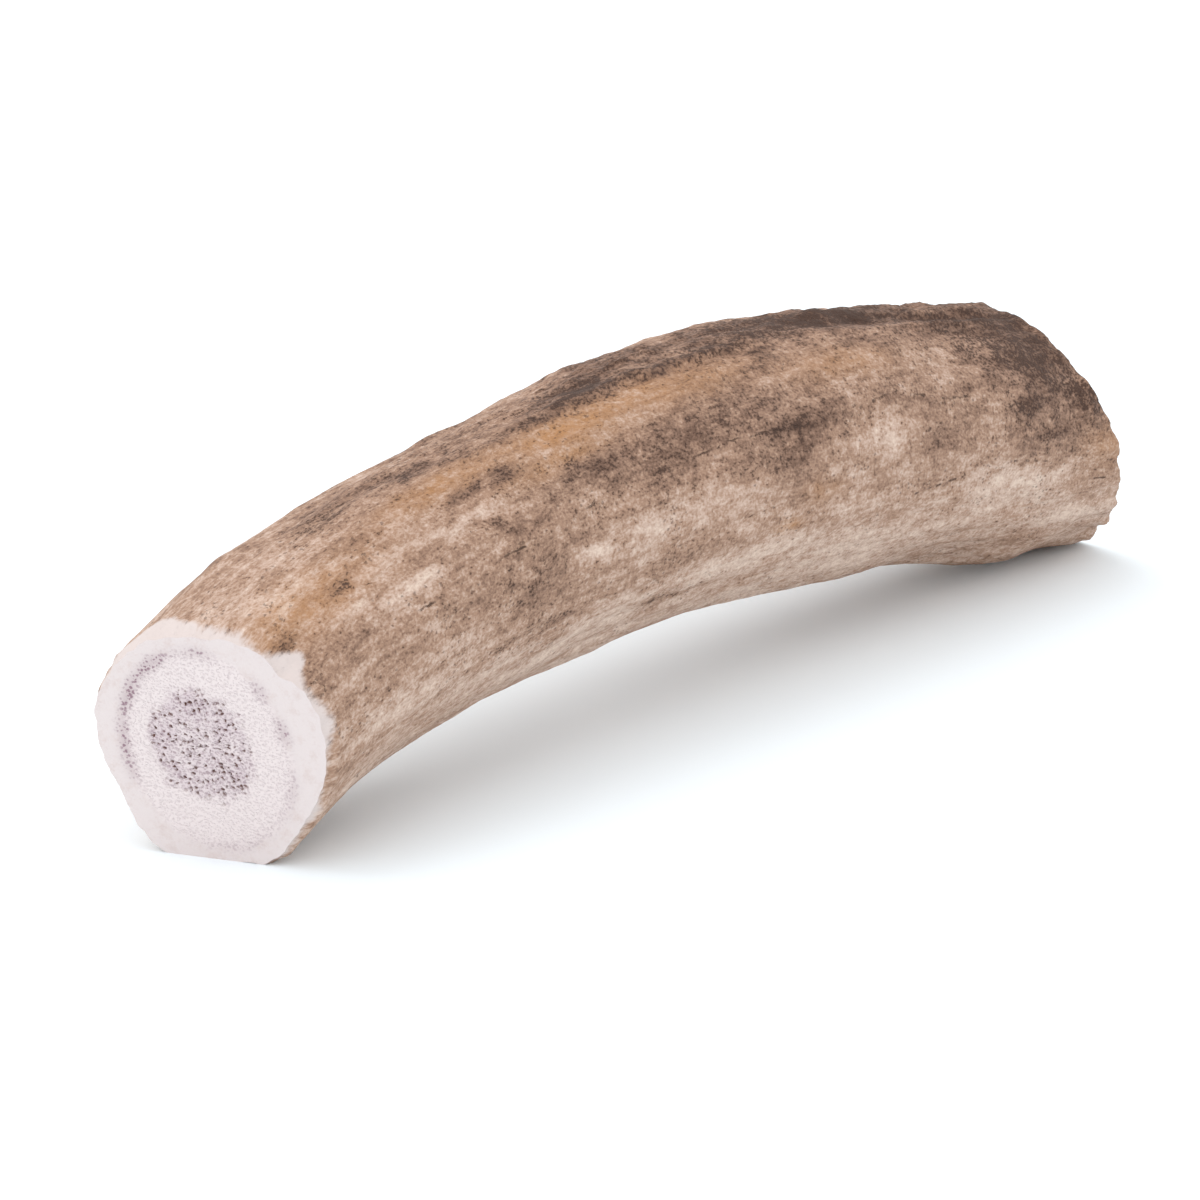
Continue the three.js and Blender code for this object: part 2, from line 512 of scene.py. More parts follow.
PLACE_INPUTS = [
    ("Along", "Float", None),
    ("Degrees", "Float", None),
    ("From Front", "Float", None),
    ("From Back", "Float", None),
    ("Relief", "Float", None),
]
RIM_INPUTS = [
    ("Front Bevel Length", "Float", 2.2),
    ("Front Bevel Depth", "Float", 0.9),
    ("Back Bevel Length", "Float", 1.2),
    ("Back Bevel Depth", "Float", 0.5),
    ("Pearl Count", "Float", 23.0),
    ("Pearl Reach", "Float", 13.0),
    ("Pearl Height", "Float", 0.5),
    ("Chip Angle", "Float", 156.0),
    ("Chip Width", "Float", 12.0),
    ("Chip Length", "Float", 6.5),
    ("Chip Depth", "Float", 1.0),
    ("Front Rim Wear", "Float", 1.8),
    ("Back Rim Wear", "Float", 3.2),
    ("Rim Wear Reach", "Float", 6.0),
]


def beam_radius_group():
    """Distance of the skin from the axis: mean radius, ridges, swells, the rims and the relief given."""
    nodes, given, sink = new_group("beam radius", PLACE_INPUTS + RIM_INPUTS, [("Radius", "Float")])
    along, degrees = given["Along"], given["Degrees"]
    from_front, from_back = given["From Front"], given["From Back"]
    radius = nodes.curve(BEAM_RADII, along / AXIS_SPAN) + given["Relief"]
    radius = radius + ridges(nodes, along, degrees) + spots(nodes, along, degrees, SWELLS + WORN_PLACES)

    # The rim of small pearls round the back end.
    angle = degrees * math.radians(1)
    uneven = nodes.math("SINE", angle * 3.0 + 1.0) * nodes.math("SINE", angle * 5.0) * 0.35 + 0.65
    phase = angle * given["Pearl Count"] * 0.5 + nodes.math("SINE", angle * 2.0) * 0.6
    pearl = nodes.math("ABSOLUTE", nodes.math("COSINE", phase)) - 0.5
    pearl_fade = nodes.fall(from_back, 0.0, given["Pearl Reach"])
    radius = radius + uneven * pearl * pearl_fade * given["Pearl Height"]

    # Bevels round the sawn faces and the chip in the front rim.
    front_bevel = nodes.fall(from_front, 0.0, given["Front Bevel Length"])
    radius = radius - front_bevel * given["Front Bevel Depth"]
    radius = radius - nodes.fall(from_back, 0.0, given["Back Bevel Length"]) * given["Back Bevel Depth"]
    chip_off = nodes.math("ABSOLUTE", nodes.turn(degrees, given["Chip Angle"]))
    chip_across = nodes.limit(1.0 - chip_off / given["Chip Width"])
    chip_along = nodes.limit(1.0 - from_front / given["Chip Length"])
    radius = radius - chip_across * chip_along * given["Chip Depth"]

    # Wear that leaves both rims uneven.
    wear = nodes.grain(straight_place(nodes, along, degrees), WEAR_SIZE, detail=3.0)
    front_wear = nodes.fall(from_front, 0.0, given["Rim Wear Reach"]) * given["Front Rim Wear"]
    back_wear = nodes.fall(from_back, 0.0, given["Rim Wear Reach"]) * given["Back Rim Wear"]
    nodes.put(sink.inputs["Radius"], radius + wear * (front_wear + back_wear))
    return nodes.tree


def grown_relief(nodes, along, degrees, from_front, from_back):
    """Relief of the bark in mm: long lumps, gutters, a crumpled crown, and knobs near the burr."""
    place = straight_place(nodes, along, degrees)
    lumps = nodes.grain(place, LUMP_SIZE, detail=2.0)
    gutters = nodes.grain(place, GUTTER_SIZE, detail=1.0)
    crumple = nodes.grain(place, CRUMPLE_SIZE, detail=4.0, roughness=0.6)
    crown = nodes.bell(nodes.turn(degrees, CROWN_ANGLE) / CROWN_HALF_WIDTH)
    crown = crown * nodes.rise(along, *CROWN_START)
    burr_cells = nodes.cells(place * (1 / BURR_CELL, 1 / BURR_CELL, 1 / BURR_CELL), feature="SMOOTH_F1")
    burr = nodes.rise(along, *BURR_START)
    gutter_height = GUTTER_HEIGHTS[0] + crown * GUTTER_HEIGHTS[1]
    crumple_height = CRUMPLE_HEIGHTS[0] + crown * CRUMPLE_HEIGHTS[1]
    relief = lumps * LUMP_HEIGHT + gutters * gutter_height + crumple * crumple_height
    relief = relief + (BURR_LEVEL - burr_cells) * burr * BURR_HEIGHT
    relief = relief + spots(nodes, along, degrees, KNOBS)
    return relief * nodes.rise(from_front, 0.0, RIM_FADE) * nodes.rise(from_back, 0.0, RIM_FADE)


def beam_skin_group(radius_tree):
    """A point of the skin, at its distances from the two sawn rims."""
    nodes, given, sink = new_group("beam skin", PLACE_INPUTS + RIM_INPUTS, [("Point", "Vector")])
    along = given["Along"]
    share = along / AXIS_SPAN
    steps = steps_between(AXIS_HEIGHTS)
    slope = nodes.curve(steps, share) * (len(steps) / AXIS_SPAN)
    lean_cosine = nodes.math("INVERSE_SQRT", slope * slope + 1.0)
    lean_sine = slope * lean_cosine
    radius = call_group(nodes, radius_tree, given, "Radius")
    angle = given["Degrees"] * math.radians(1)
    to_side = radius * nodes.math("COSINE", angle)
    to_crown = radius * nodes.math("SINE", angle)
    in_bend = nodes.curve(AXIS_HEIGHTS, share) + lean_cosine * to_crown
    x = along - lean_sine * to_crown + FRONT_CENTRE.x
    y = in_bend * UP_IN_BEND.y + to_side * SIDE.y + FRONT_CENTRE.y
    z = in_bend * UP_IN_BEND.z + to_side * SIDE.z + FRONT_CENTRE.z
    # The ends rest on worn flats where they meet the ground.
    nodes.put(sink.inputs["Point"], nodes.vector(x, y, nodes.math("MAXIMUM", z, 0.0)))
    return nodes.tree


def saw_rim_group(skin_tree):
    """Where a saw plane crosses the skin at one angle: the rim slides along until it is in the plane."""
    inputs = [
        ("Saw At", "Float", None),
        ("Saw Centre", "Vector", None),
        ("Saw Normal", "Vector", None),
        *PLACE_INPUTS[1:],
        *RIM_INPUTS,
    ]
    nodes, given, sink = new_group("saw rim", inputs, [("Along", "Float"), ("Point", "Vector")])
    skin_values = {name: given[name] for name, kind, value in PLACE_INPUTS[1:] + RIM_INPUTS}
    along = given["Saw At"]
    for _ in range(SAW_PASSES):
        point = call_group(nodes, skin_tree, {"Along": along, **skin_values}, "Point")
        along = along - nodes.dot(point - given["Saw Centre"], given["Saw Normal"])
    point = call_group(nodes, skin_tree, {"Along": along, **skin_values}, "Point")
    nodes.put(sink.inputs["Along"], along)
    nodes.put(sink.inputs["Point"], point)
    return nodes.tree


def store(nodes, geometry, name, value, kind="FLOAT"):
    inputs = {"Geometry": geometry, "Name": name, "Value": value}
    return nodes.add("GeometryNodeStoreNamedAttribute", inputs, data_type=kind, domain="POINT")


def mark(nodes, geometry, name, value, kind="FLOAT"):
    """Stores a value for the materials, on face corners so that welded rims don't mix bark and bone."""
    inputs = {"Geometry": geometry, "Name": name, "Value": value}
    return nodes.add("GeometryNodeStoreNamedAttribute", inputs, data_type=kind, domain="CORNER")


def joined(nodes, *sheets):
    node = nodes.tree.nodes.new("GeometryNodeJoinGeometry")
    for sheet in sheets:
        nodes.tree.links.new(sheet.socket, node.inputs[0])
    return Number(nodes, node.outputs[0])


def stored(nodes, name, kind="FLOAT"):
    return nodes.add("GeometryNodeInputNamedAttribute", {"Name": name}, data_type=kind)


CORE_CENTRE = Vector((1.5, 0.6, 0.0))
CORE_SIZE = Vector((8.7, 9.6, 1.0))
CORE_EDGE = (0.8, 1.05)

# Pores of the spongy bone, in mm: the cells that hold them and how far they are bent out of line.
WIDE_PORE_CELL = (0.82, 0.74)
FINE_PORE_CELL = (0.5, 0.45)
PORE_BEND = 1.2
WIDEST_PORE = 0.37


def bent_across(nodes, across, detail, amount):
    """Places across a sawn face, moved about so that the cells of pores are uneven."""
    return across + (nodes.noise(across * 2.2, detail=detail, output=1) - 0.5) * amount


def flat_cells(nodes, place, output="Distance"):
    return nodes.cells(place, output=output, voronoi_dimensions="2D")


def face_pores(nodes, across):
    """Pores of the spongy core, from 0 to 1: wide ones and fine ones, at places across a sawn face."""
    bent = bent_across(nodes, across, 2.0, PORE_BEND)
    wide_place = bent * (1 / WIDE_PORE_CELL[0], 1 / WIDE_PORE_CELL[1], 1.0)
    wide = flat_cells(nodes, wide_place)
    random = nodes.part(flat_cells(nodes, wide_place, "Color"), 0)
    fine = flat_cells(nodes, bent * (1 / FINE_PORE_CELL[0], 1 / FINE_PORE_CELL[1], 1.0))
    reach = nodes.rise(random, 0.15, 1.1) * WIDEST_PORE
    return nodes.fall(wide - reach, -0.08, 0.04), nodes.fall(fine, 0.1, 0.36)


def core_share(nodes, across):
    """How far out in the spongy core a place on a sawn face is: under 1 inside it."""
    wander = (nodes.noise(across * 0.35, detail=3.0) - 0.5) * 0.55
    flat = (across - tuple(CORE_CENTRE)) * (1 / CORE_SIZE.x, 1 / CORE_SIZE.y, 0.0)
    return nodes.length(flat) + wander


# The front face has this share of its rings within this share of its radius, over the core.
CORE_RINGS = 0.72
CORE_REACH = 0.56


def antler_group(skin_tree, rim_tree):
    """The whole antler: bark from rim to rim, and the two sawn faces."""
    front_centre, _, front_crown = axis_at(FRONT_SAW["at"])
    back_centre, _, back_crown = axis_at(BACK_SAW["at"])
    inputs = [
        ("Bark Steps Around", "Int", 256),
        ("Bark Steps Along", "Int", 280),
        ("Front Face Rings", "Int", 64),
        ("Back Face Rings", "Int", 26),
        ("End Crowding", "Float", 0.3),
        ("Relief Height", "Float", 1.0),
        ("Pore Depth", "Float", 0.35),
        ("Back Core Shrink", "Float", 0.9),
        ("Front Saw At", "Float", FRONT_SAW["at"]),
        ("Back Saw At", "Float", BACK_SAW["at"]),
        ("Front Saw Normal", "Vector", saw_normal(FRONT_SAW)),
        ("Back Saw Normal", "Vector", saw_normal(BACK_SAW)),
        ("Rim Sharpness", "Float", math.radians(42)),
        ("Weld Distance", "Float", 0.00002),
        ("Bark", "Material", None),
        ("Sawn Bone", "Material", None),
    ]
    nodes, given, sink = new_group("antler", inputs + RIM_INPUTS, [("Geometry", "Geometry")])
    rim_values = {name: given[name] for name, kind, value in RIM_INPUTS}
    around = given["Bark Steps Around"] + 1.0

    def sheet(steps):
        """A grid whose x runs round the beam and whose y takes the steps, both from 0 to 1."""
        size = {"Size X": 1.0, "Size Y": 1.0, "Vertices X": around, "Vertices Y": steps + 1.0}
        grid = nodes.add("GeometryNodeMeshGrid", size)
        position = nodes.add("GeometryNodeInputPosition", {})
        return grid, (nodes.part(position, 0) + 0.5) * 360.0, nodes.part(position, 1) + 0.5

    def rim(end, degrees, output):
        """The rim at one end: where it is along the beam, or its point."""
        ends = {"From Front": FAR_OFF, "From Back": FAR_OFF, "From " + end: 0.0}
        values = {
            "Saw At": given[end + " Saw At"],
            "Saw Centre": front_centre if end == "Front" else back_centre,
            "Saw Normal": given[end + " Saw Normal"],
            "Degrees": degrees,
        }
        return call_group(nodes, rim_tree, {**values, **ends, **rim_values}, output)

    def moved(geometry, point):
        inputs = {"Geometry": geometry, "Position": point * MILLIMETRE}
        return nodes.add("GeometryNodeSetPosition", inputs)

    # Bark.
    grid, degrees, even = sheet(given["Bark Steps Along"])
    wave = nodes.math("SINE", even * (2 * math.pi)) + nodes.math("SINE", even * (4 * math.pi)) * 0.5
    grid = store(nodes, grid, "step", even - wave * given["End Crowding"] / (2 * math.pi))
    grid = store(nodes, grid, "degrees", degrees)
    grid = store(nodes, grid, "front", rim("Front", degrees, "Along"))
    grid = store(nodes, grid, "back", rim("Back", degrees, "Along"))
    front, back, step = stored(nodes, "front"), stored(nodes, "back"), stored(nodes, "step")
    grid = store(nodes, grid, "along", front + (back - front) * step)
    along, degrees = stored(nodes, "along"), stored(nodes, "degrees")
    from_front, from_back = along - front, back - along
    place = straight_place(nodes, along, degrees)
    warp = nodes.grain(place, STAIN_WANDER_SIZE, detail=4.0, roughness=0.6, output=1)
    bent_along = along + nodes.part(warp, 0) * STAIN_WANDER[0]
    bent_degrees = degrees + nodes.part(warp, 1) * STAIN_WANDER[1]
    grid = mark(nodes, grid, "bark_place", place, "FLOAT_VECTOR")
    grid = mark(nodes, grid, "bark_dark", spots(nodes, bent_along, bent_degrees, DARK_STAINS))
    grid = mark(nodes, grid, "bark_pale", spots(nodes, bent_along, bent_degrees, PALE_STAINS))
    grid = mark(nodes, grid, "bark_golden", spots(nodes, bent_along, bent_degrees, GOLDEN_STAINS))
    grid = mark(nodes, grid, "bark_bare", from_front - spots(nodes, 0.0, degrees, BARE_PATCHES))
    values = {"Along": along, "Degrees": degrees, "From Front": from_front, "From Back": from_back}
    relief = grown_relief(nodes, along, degrees, from_front, from_back) * given["Relief Height"]
    skin = call_group(nodes, skin_tree, {**values, "Relief": relief, **rim_values}, "Point")
    bark_sheet = moved(grid, skin)

    # Front face: rings from its middle out to the rim, closer together over the core.
    grid, degrees, even = sheet(given["Front Face Rings"])
    inner = nodes.math("MINIMUM", even / CORE_RINGS, 1.0) * CORE_REACH
    outer = nodes.math("MAXIMUM", (even - CORE_RINGS) / (1 - CORE_RINGS), 0.0) * (1 - CORE_REACH)
    spoke = (rim("Front", degrees, "Point") - front_centre) * (inner + outer)
    grid = store(nodes, grid, "spoke", spoke, "FLOAT_VECTOR")
    spoke = stored(nodes, "spoke", "FLOAT_VECTOR")
    across = nodes.vector(nodes.dot(spoke, SIDE), nodes.dot(spoke, front_crown), 0.0)
    grid = mark(nodes, grid, "face_across", across, "FLOAT_VECTOR")
    wide, fine = face_pores(nodes, across)
    core = nodes.fall(core_share(nodes, across), *CORE_EDGE)
    depth = core * (wide + fine * 0.25) * given["Pore Depth"]
    front_sheet = moved(grid, spoke + front_centre + nodes.vector(depth, 0.0, 0.0))

    # Back face: rings from its rim in to the middle.
    grid, degrees, even = sheet(given["Back Face Rings"])
    spoke = (rim("Back", degrees, "Point") - back_centre) * (1.0 - even)
    grid = store(nodes, grid, "spoke", spoke, "FLOAT_VECTOR")
    spoke = stored(nodes, "spoke", "FLOAT_VECTOR")
    across = nodes.vector(nodes.dot(spoke, SIDE), nodes.dot(spoke, back_crown), 0.0)
    grid = mark(nodes, grid, "face_across", across * given["Back Core Shrink"], "FLOAT_VECTOR")
    back_sheet = moved(grid, spoke + back_centre)

    faces = joined(nodes, front_sheet, back_sheet)
    on_face = {"Geometry": faces, "Name": "sawn_face", "Value": True}
    faces = nodes.add("GeometryNodeStoreNamedAttribute", on_face, data_type="BOOLEAN", domain="FACE")
    whole = joined(nodes, bark_sheet, faces)
    weld = {"Geometry": whole, "Distance": given["Weld Distance"]}
    welded = nodes.add("GeometryNodeMergeByDistance", weld)
    all_smooth = {"Geometry": welded, "Shade Smooth": True}
    smooth = nodes.add("GeometryNodeSetShadeSmooth", all_smooth, domain="FACE")
    edge_angle = nodes.add("GeometryNodeInputMeshEdgeAngle", {})
    sharp = nodes.add("FunctionNodeCompare", {0: edge_angle, 1: given["Rim Sharpness"]},
                      data_type="FLOAT", operation="GREATER_THAN")
    creased = nodes.add("GeometryNodeSetShadeSmooth",
                        {"Geometry": smooth, "Selection": sharp, "Shade Smooth": False}, domain="EDGE")
    real = nodes.add("GeometryNodeRealizeInstances", {"Geometry": creased})
    coated = nodes.add("GeometryNodeSetMaterial", {"Geometry": real, "Material": given["Bark"]})
    on_sawn = stored(nodes, "sawn_face", "BOOLEAN")
    finished = nodes.add("GeometryNodeSetMaterial",
                         {"Geometry": coated, "Selection": on_sawn, "Material": given["Sawn Bone"]})
    nodes.put(sink.inputs["Geometry"], finished)
    return nodes.tree


def new_material(name):
    material = bpy.data.materials.new(name)
    material.use_nodes = True
    shader = material.node_tree.nodes["Principled BSDF"]
    return material, Nodes(material.node_tree), shader


def attribute(nodes, name, output="Fac"):
    settings = {"attribute_name": name, "attribute_type": "GEOMETRY"}
    return nodes.add("ShaderNodeAttribute", {}, output=output, **settings)


def ramp(nodes, value, stops):
    """Colours along a number, from stops of position and colour."""
    node = nodes.tree.nodes.new("ShaderNodeValToRGB")
    elements = node.color_ramp.elements
    while len(elements) < len(stops):
        elements.new(1.0)
    for element, (position, colour) in zip(elements, stops):
        element.position = position
        element.color = (*colour, 1.0)
    nodes.put(node.inputs[0], value)
    return Number(nodes, node.outputs[0])


def blend(nodes, share, under, over):
    """One colour over another, by a share from 0 to 1."""
    node = nodes.tree.nodes.new("ShaderNodeMix")
    node.data_type = "RGBA"
    nodes.put(node.inputs[0], share)
    for socket, colour in ((node.inputs[6], under), (node.inputs[7], over)):
        nodes.put(socket, colour if isinstance(colour, Number) else (*colour, 1.0))
    return Number(nodes, node.outputs[2])


BUMP_STRENGTH = 1.08


def bump(nodes, shader, height):
    """Fine relief of a material, from a height in millimetres."""
    node = nodes.tree.nodes.new("ShaderNodeBump")
    node.inputs["Strength"].default_value = BUMP_STRENGTH
    node.inputs["Distance"].default_value = MILLIMETRE
    nodes.put(node.inputs["Height"], height)
    nodes.tree.links.new(node.outputs["Normal"], shader.inputs["Normal"])


BARK_TONES = (
    (0.0, (0.72, 0.57, 0.47)),
    (0.22, (0.555, 0.398, 0.318)),
    (0.42, (0.395, 0.247, 0.172)),
    (0.62, (0.235, 0.14, 0.098)),
    (0.82, (0.125, 0.07, 0.049)),
    (1.0, (0.07, 0.041, 0.031)),
)
GOLDEN = (0.45, 0.22, 0.085)
BARE_BONE = (0.635, 0.555, 0.532)
STAIN_BROWN = (0.075, 0.041, 0.029)
PIT_BROWN = (0.085, 0.047, 0.033)


# Sizes in mm, along the beam and across it, of the grain in the colour of the bark.
DRIFT_SIZE = (9, 5)
BROAD_SIZE = (18, 7)
MOTTLE_SIZE = (4.6, 2.6)
RAGGED_SIZE = (2.2, 1.4)
STREAK_SIZE = (9, 1.1)
GRIT_SIZE = (0.62, 0.42)
PIT_SIZE = (1.0, 0.62)
CLUSTER_SIZE = (10, 6)

# How far in mm the grain, the pits and the cracks are bent out of line.
GRAIN_BEND = 0.9
PIT_BEND = 1.3
CRACK_BEND = 1.6
CRACK_EDGE = (0.02, 0.24)

# What each grain adds to the tone of the bark, to its fine relief and to the edge of the bare bone.
MIDDLE_TONE = 0.435
TONE_SHARES = {
    "broad": 0.7,
    "mottle": 0.5,
    "streaks": 0.45,
    "ragged": 0.85,
    "grit": 0.75,
    "dark": 0.68,
    "pale": -1.0,
}
RELIEF_SHARES = {
    "streaks": 0.2,
    "grit": 0.14,
    "ragged": 0.28,
    "mottle": 0.3,
    "specks": -0.06,
    "pits": -0.15,
    "cracks": -0.3,
}
BARE_SHARES = {"broad": 6.0, "mottle": 2.0, "grit": 1.0}
BARE_EDGE = (-1.3, 0.5)

# How much of each colour goes over the bark.
GOLDEN_COVER = 0.75
SPECK_COVER = 0.78
PIT_COVER = 0.5
CRACK_COVER = 0.8
BARE_COVER = 0.94
BARK_SHINE = 0.1


def crack_share(nodes, place):
    """How near a place is to a weathering crack: 1 in its middle."""
    bent = place + (nodes.noise(place * 0.45, detail=3.0, output=1) - 0.5) * CRACK_BEND
    nearest = None
    for along, degrees, end_along, end_degrees in CRACKS:
        ends = []
        for at, angle in ((along, degrees), (end_along, end_degrees)):
            turn = math.radians(angle)
            ends.append(Vector((at, MIDDLE_RADIUS * math.cos(turn), MIDDLE_RADIUS * math.sin(turn))))
        line = ends[1] - ends[0]
        offset = bent - ends[0]
        share = nodes.limit(nodes.dot(offset, line / line.length_squared))
        gap = nodes.length(offset - nodes.vector(share * line.x, share * line.y, share * line.z))
        nearest = gap if nearest is None else nodes.math("MINIMUM", nearest, gap)
    broken = nodes.rise(nodes.noise(place * (0.35, 1.0, 1.0), detail=3.0), 0.4, 0.6)
    return nodes.fall(nearest, *CRACK_EDGE) * broken


def bark_material():
    material, nodes, shader = new_material("weathered bark")
    place = attribute(nodes, "bark_place", "Vector")
    dark, pale, golden = (attribute(nodes, name) for name in ("bark_dark", "bark_pale", "bark_golden"))
    bent = place + nodes.grain(place, DRIFT_SIZE, output=1) * GRAIN_BEND
    broad = nodes.grain(place, BROAD_SIZE, detail=5.0, roughness=0.62)
    mottle = nodes.grain(bent, MOTTLE_SIZE, detail=5.0, roughness=0.68)
    ragged = nodes.grain(bent, RAGGED_SIZE, detail=6.0, roughness=0.7)
    streaks = nodes.grain(bent, STREAK_SIZE, detail=3.0, roughness=0.6)
    grit = nodes.grain(bent, GRIT_SIZE, detail=3.0, roughness=0.6)
    grains = {"broad": broad, "mottle": mottle, "ragged": ragged, "streaks": streaks, "grit": grit}
    tone = nodes.weighted(MIDDLE_TONE, TONE_SHARES, {**grains, "dark": dark, "pale": pale})
    colour = ramp(nodes, tone, BARK_TONES)
    gilded = nodes.limit(golden * (0.9 + ragged * 3.0)) * GOLDEN_COVER
    colour = blend(nodes, gilded * nodes.fall(tone, 0.5, 0.85), colour, GOLDEN)

    # Stains break up into gritty specks.
    edge = 0.17 - dark * 0.34 - mottle * 0.4 + pale * 0.15
    specks = nodes.rise(grit * 0.9 + ragged * 0.55, edge, edge + 0.06)
    colour = blend(nodes, specks * SPECK_COVER, colour, STAIN_BROWN)

    # Fine pits in clusters, more of them where the bark is stained.
    pit_bend = (nodes.noise(place * 1.4, detail=2.0, output=1) - 0.5) * PIT_BEND
    pit_place = (bent + pit_bend) * (1 / PIT_SIZE[0], 1 / PIT_SIZE[1], 1 / PIT_SIZE[1])
    pit_random = nodes.part(nodes.cells(pit_place, output="Color"), 0)
    cluster = nodes.grain(place, CLUSTER_SIZE, detail=3.0)
    chance = nodes.rise(cluster + dark * 0.35, -0.04, 0.25) * 0.7
    pits = nodes.fall(nodes.cells(pit_place), 0.14, 0.42) * nodes.fall(pit_random - chance, -0.05, 0.05)
    colour = blend(nodes, pits * PIT_COVER, colour, PIT_BROWN)

    cracks = crack_share(nodes, place)
    colour = blend(nodes, cracks * CRACK_COVER, colour, PIT_BROWN)

    # The saw and handling left bare bone along the front rim.
    bare = nodes.fall(nodes.weighted(attribute(nodes, "bark_bare"), BARE_SHARES, grains), *BARE_EDGE)
    colour = blend(nodes, bare * BARE_COVER, colour, BARE_BONE)

    nodes.put(shader.inputs["Base Color"], colour)
    nodes.put(shader.inputs["Roughness"], 0.6 + streaks * 0.3)
    shader.inputs["Specular IOR Level"].default_value = BARK_SHINE
    marks = {"specks": specks, "pits": pits, "cracks": cracks}
    height = nodes.weighted(0.0, RELIEF_SHARES, {**grains, **marks})
    bump(nodes, shader, height * (1.0 - bare * 0.7))
    return material


COMPACT_BONE = (0.655, 0.58, 0.568)
STAINED_BONE = (0.58, 0.475, 0.45)
SPONGY_BONE = (0.70, 0.615, 0.605)
LILAC = (0.27, 0.175, 0.205)
CORE_LILAC = (0.56, 0.465, 0.485)
PORE_BROWN = (0.15, 0.072, 0.055)

# Lilac clusters of the ring round the core: angle, half width and strength.
RING_CLUSTERS = (
    (80, 14, 0.9),
    (52, 16, 1.0),
    (20, 15, 1.0),
    (0, 7, 0.5),
    (110, 8, 0.7),
    (155, 8, 0.7),
    (186, 10, 0.8),
    (228, 14, 0.5),
    (280, 30, 0.3),
)

# The ring: its middle radius in mm, and how far it is oval and off the middle, each at an angle.
RING_RADIUS = 14.4
RING_OVAL = 1.2
RING_OVAL_TURN = math.radians(200)
RING_SHIFT_TURN = math.radians(340)

# Fine dots of marrow in the ring and the core, in mm.
DOT_CELL = (0.62, 0.55)
DOT_BEND = 0.6
BONE_SHINE = 0.3

# Darker places in the core: across the face to the left, up to the crown, size and strength.
CORE_SHADES = (
    (0.0, 7.3, 3.0, 0.8),
    (7.5, 4.0, 2.6, 0.8),
    (-3.4, -6.2, 2.8, 0.7),
    (8.5, -2.2, 2.2, 0.6),
    (-3.6, 2.4, 2.6, 0.4),
    (1.4, -3.6, 3.0, 0.35),
)


def sawn_bone_material():
    material, nodes, shader = new_material("sawn bone")
    across = attribute(nodes, "face_across", "Vector")
    angle = nodes.math("ARCTAN2", nodes.part(across, 1), nodes.part(across, 0))
    degrees = angle * math.degrees(1)
    radius = nodes.length(across)
    ring_radius = RING_RADIUS + nodes.math("COSINE", angle * 2.0 - RING_OVAL_TURN) * RING_OVAL
    ring_radius = ring_radius + nodes.math("COSINE", angle - RING_SHIFT_TURN)
    cloud = nodes.noise(across * 0.4, detail=4.0, roughness=0.6) - 0.5
    grit = nodes.noise(across * 2.6, detail=3.0, roughness=0.6) - 0.5
    off_ring = radius - ring_radius + cloud * 2.0
    ring_strength = None
    for at, half_width, strength in RING_CLUSTERS:
        near = nodes.bell(nodes.turn(degrees, at) / half_width) * strength
        ring_strength = near if ring_strength is None else ring_strength + near
    spongy = nodes.fall(off_ring, -0.6, 1.0)
    colour = blend(nodes, nodes.limit(cloud * 3.0 + grit * 1.2), COMPACT_BONE, STAINED_BONE)
    colour = blend(nodes, spongy, colour, SPONGY_BONE)
    dot_place = bent_across(nodes, across, 1.0, DOT_BEND) * (1 / DOT_CELL[0], 1 / DOT_CELL[1], 1.0)
    dot_random = nodes.part(flat_cells(nodes, dot_place, "Color"), 0)
    dots = nodes.fall(flat_cells(nodes, dot_place) - dot_random * 0.5, -0.18, 0.14)
    ring = nodes.bell(off_ring) * ring_strength
    colour = blend(nodes, nodes.limit(ring * (0.4 + dots * 0.85)), colour, LILAC)
    core = nodes.fall(core_share(nodes, across), *CORE_EDGE)
    shade = None
    for left, up, size, strength in CORE_SHADES:
        near = nodes.bell(nodes.length(across - (left, up, 0.0)) / size) * strength
        shade = near if shade is None else shade + near
    colour = blend(nodes, core * nodes.limit(0.4 + cloud * 1.6 + shade * 0.6), colour, CORE_LILAC)
    wide, fine = face_pores(nodes, across)
    colour = blend(nodes, dots * spongy * (0.1 + core * (0.28 + shade * 0.4)), colour, LILAC)
    colour = blend(nodes, fine * spongy * (0.14 + core * 0.2), colour, LILAC)
    colour = blend(nodes, nodes.limit(wide * core * (0.75 + shade * 0.4)), colour, PORE_BROWN)
    nodes.put(shader.inputs["Base Color"], colour)
    nodes.put(shader.inputs["Roughness"], 0.7 + grit * 0.25)
    shader.inputs["Specular IOR Level"].default_value = BONE_SHINE
    bump(nodes, shader, grit * 0.06 + cloud * 0.1 - fine * spongy * 0.05)
    return material


def make_antler():
    """Builds the antler from its node tree and turns it into a plain mesh."""
    skin_tree = beam_skin_group(beam_radius_group())
    rim_tree = saw_rim_group(skin_tree)
    materials = {"Bark": bark_material(), "Sawn Bone": sawn_bone_material()}
    tree = antler_group(skin_tree, rim_tree)
    antler = bpy.data.objects.new("antler_beam", bpy.data.meshes.new("antler_beam"))
    bpy.context.scene.collection.objects.link(antler)
    modifier = antler.modifiers.new("antler", "NODES")
    modifier.node_group = tree
    for item in tree.interface.items_tree:
        if item.in_out == "INPUT" and item.name in materials:
            modifier[item.identifier] = materials[item.name]
    depsgraph = bpy.context.evaluated_depsgraph_get()
    mesh = bpy.data.meshes.new_from_object(antler.evaluated_get(depsgraph))
    antler.modifiers.remove(modifier)
    antler.data = mesh
    mesh.name = "antler_beam"
    return antler


antler = make_antler()
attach(antler, "root")
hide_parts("antler")


FLOOR_REACH = 4.0
FLOOR_COLOUR = (0.90, 0.96, 0.995)
FLOOR_ROUGHNESS = 0.9


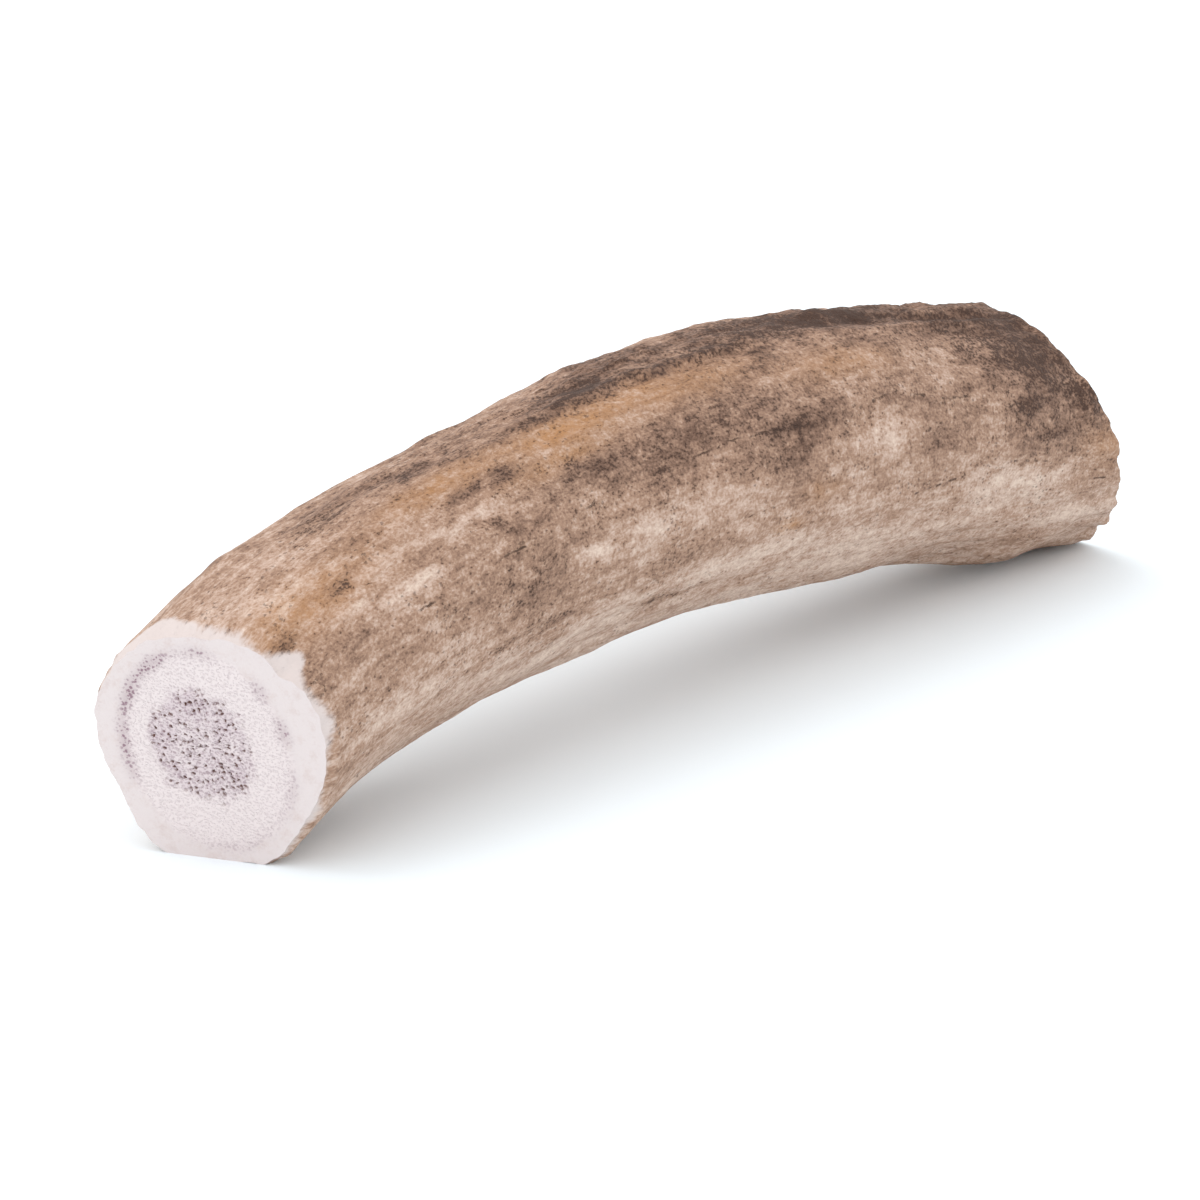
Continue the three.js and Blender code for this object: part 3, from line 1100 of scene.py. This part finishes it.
def studio_floor():
    """A plain pale floor, wide enough to fill the view."""
    mesh = bpy.data.meshes.new("studio_floor")
    signs = ((-1, -1), (1, -1), (1, 1), (-1, 1))
    corners = [(FLOOR_REACH * x, FLOOR_REACH * y, 0) for x, y in signs]
    mesh.from_pydata(corners, [], [(0, 1, 2, 3)])
    floor = bpy.data.objects.new("studio_floor", mesh)
    bpy.context.scene.collection.objects.link(floor)
    material, _, shader = new_material("pale floor")
    shader.inputs["Base Color"].default_value = (*FLOOR_COLOUR, 1.0)
    shader.inputs["Roughness"].default_value = FLOOR_ROUGHNESS
    shader.inputs["Specular IOR Level"].default_value = 0.0
    mesh.materials.append(material)
    return floor


studio_floor()

# The camera stands at the photographer's place, turned from the beam and a little above it.
CAMERA_TURN = math.radians(53.9)
CAMERA_RISE = math.radians(15)
CAMERA_DISTANCE = 0.878
CAMERA_TARGET = Vector((0.035, 0.0377, 0.0005))
CAMERA_RIGHT = Vector((math.cos(CAMERA_TURN), -math.sin(CAMERA_TURN), 0))
CAMERA_AWAY = Vector((math.sin(CAMERA_TURN), math.cos(CAMERA_TURN), 0))
LENS_LENGTH = 150.0
SENSOR_WIDTH = 36.0

# Lights: how far each is to the camera's right, away from it and up, its strength and its spread.
LIGHTS = {
    "key": ((-0.45, 0.25, 0.9), 0.55, math.radians(50)),
    "fill": ((-0.55, -0.8, 0.3), 0.55, math.radians(70)),
}
ROOM_COLOUR = (0.98, 0.99, 1.0)
ROOM_STRENGTH = 1.18


def studio_camera():
    forward = CAMERA_AWAY * math.cos(CAMERA_RISE) - Vector((0, 0, math.sin(CAMERA_RISE)))
    lens = bpy.data.cameras.new("studio_camera")
    lens.lens = LENS_LENGTH
    lens.sensor_width = SENSOR_WIDTH
    camera = bpy.data.objects.new("studio_camera", lens)
    camera.location = CAMERA_TARGET - forward * CAMERA_DISTANCE
    camera.rotation_euler = forward.to_track_quat("-Z", "Y").to_euler()
    bpy.context.scene.collection.objects.link(camera)
    bpy.context.scene.camera = camera


def soft_light(name, towards, energy, spread):
    """A broad light that shines from a direction."""
    light = bpy.data.lights.new(name, "SUN")
    light.energy = energy
    light.angle = spread
    lamp = bpy.data.objects.new(name, light)
    lamp.rotation_euler = towards.to_track_quat("Z", "Y").to_euler()
    bpy.context.scene.collection.objects.link(lamp)


def studio_light():
    """A soft light from above, a low fill from the front, both from the left, and an even white room."""
    for name, ((right, away, up), energy, spread) in LIGHTS.items():
        towards = CAMERA_RIGHT * right + CAMERA_AWAY * away + Vector((0, 0, up))
        soft_light(name, towards, energy, spread)
    room = bpy.data.worlds.new("white_room")
    room.use_nodes = True
    background = room.node_tree.nodes["Background"]
    background.inputs["Color"].default_value = (*ROOM_COLOUR, 1.0)
    background.inputs["Strength"].default_value = ROOM_STRENGTH
    scene = bpy.context.scene
    scene.world = room
    scene.view_settings.view_transform = "Standard"


studio_camera()
studio_light()
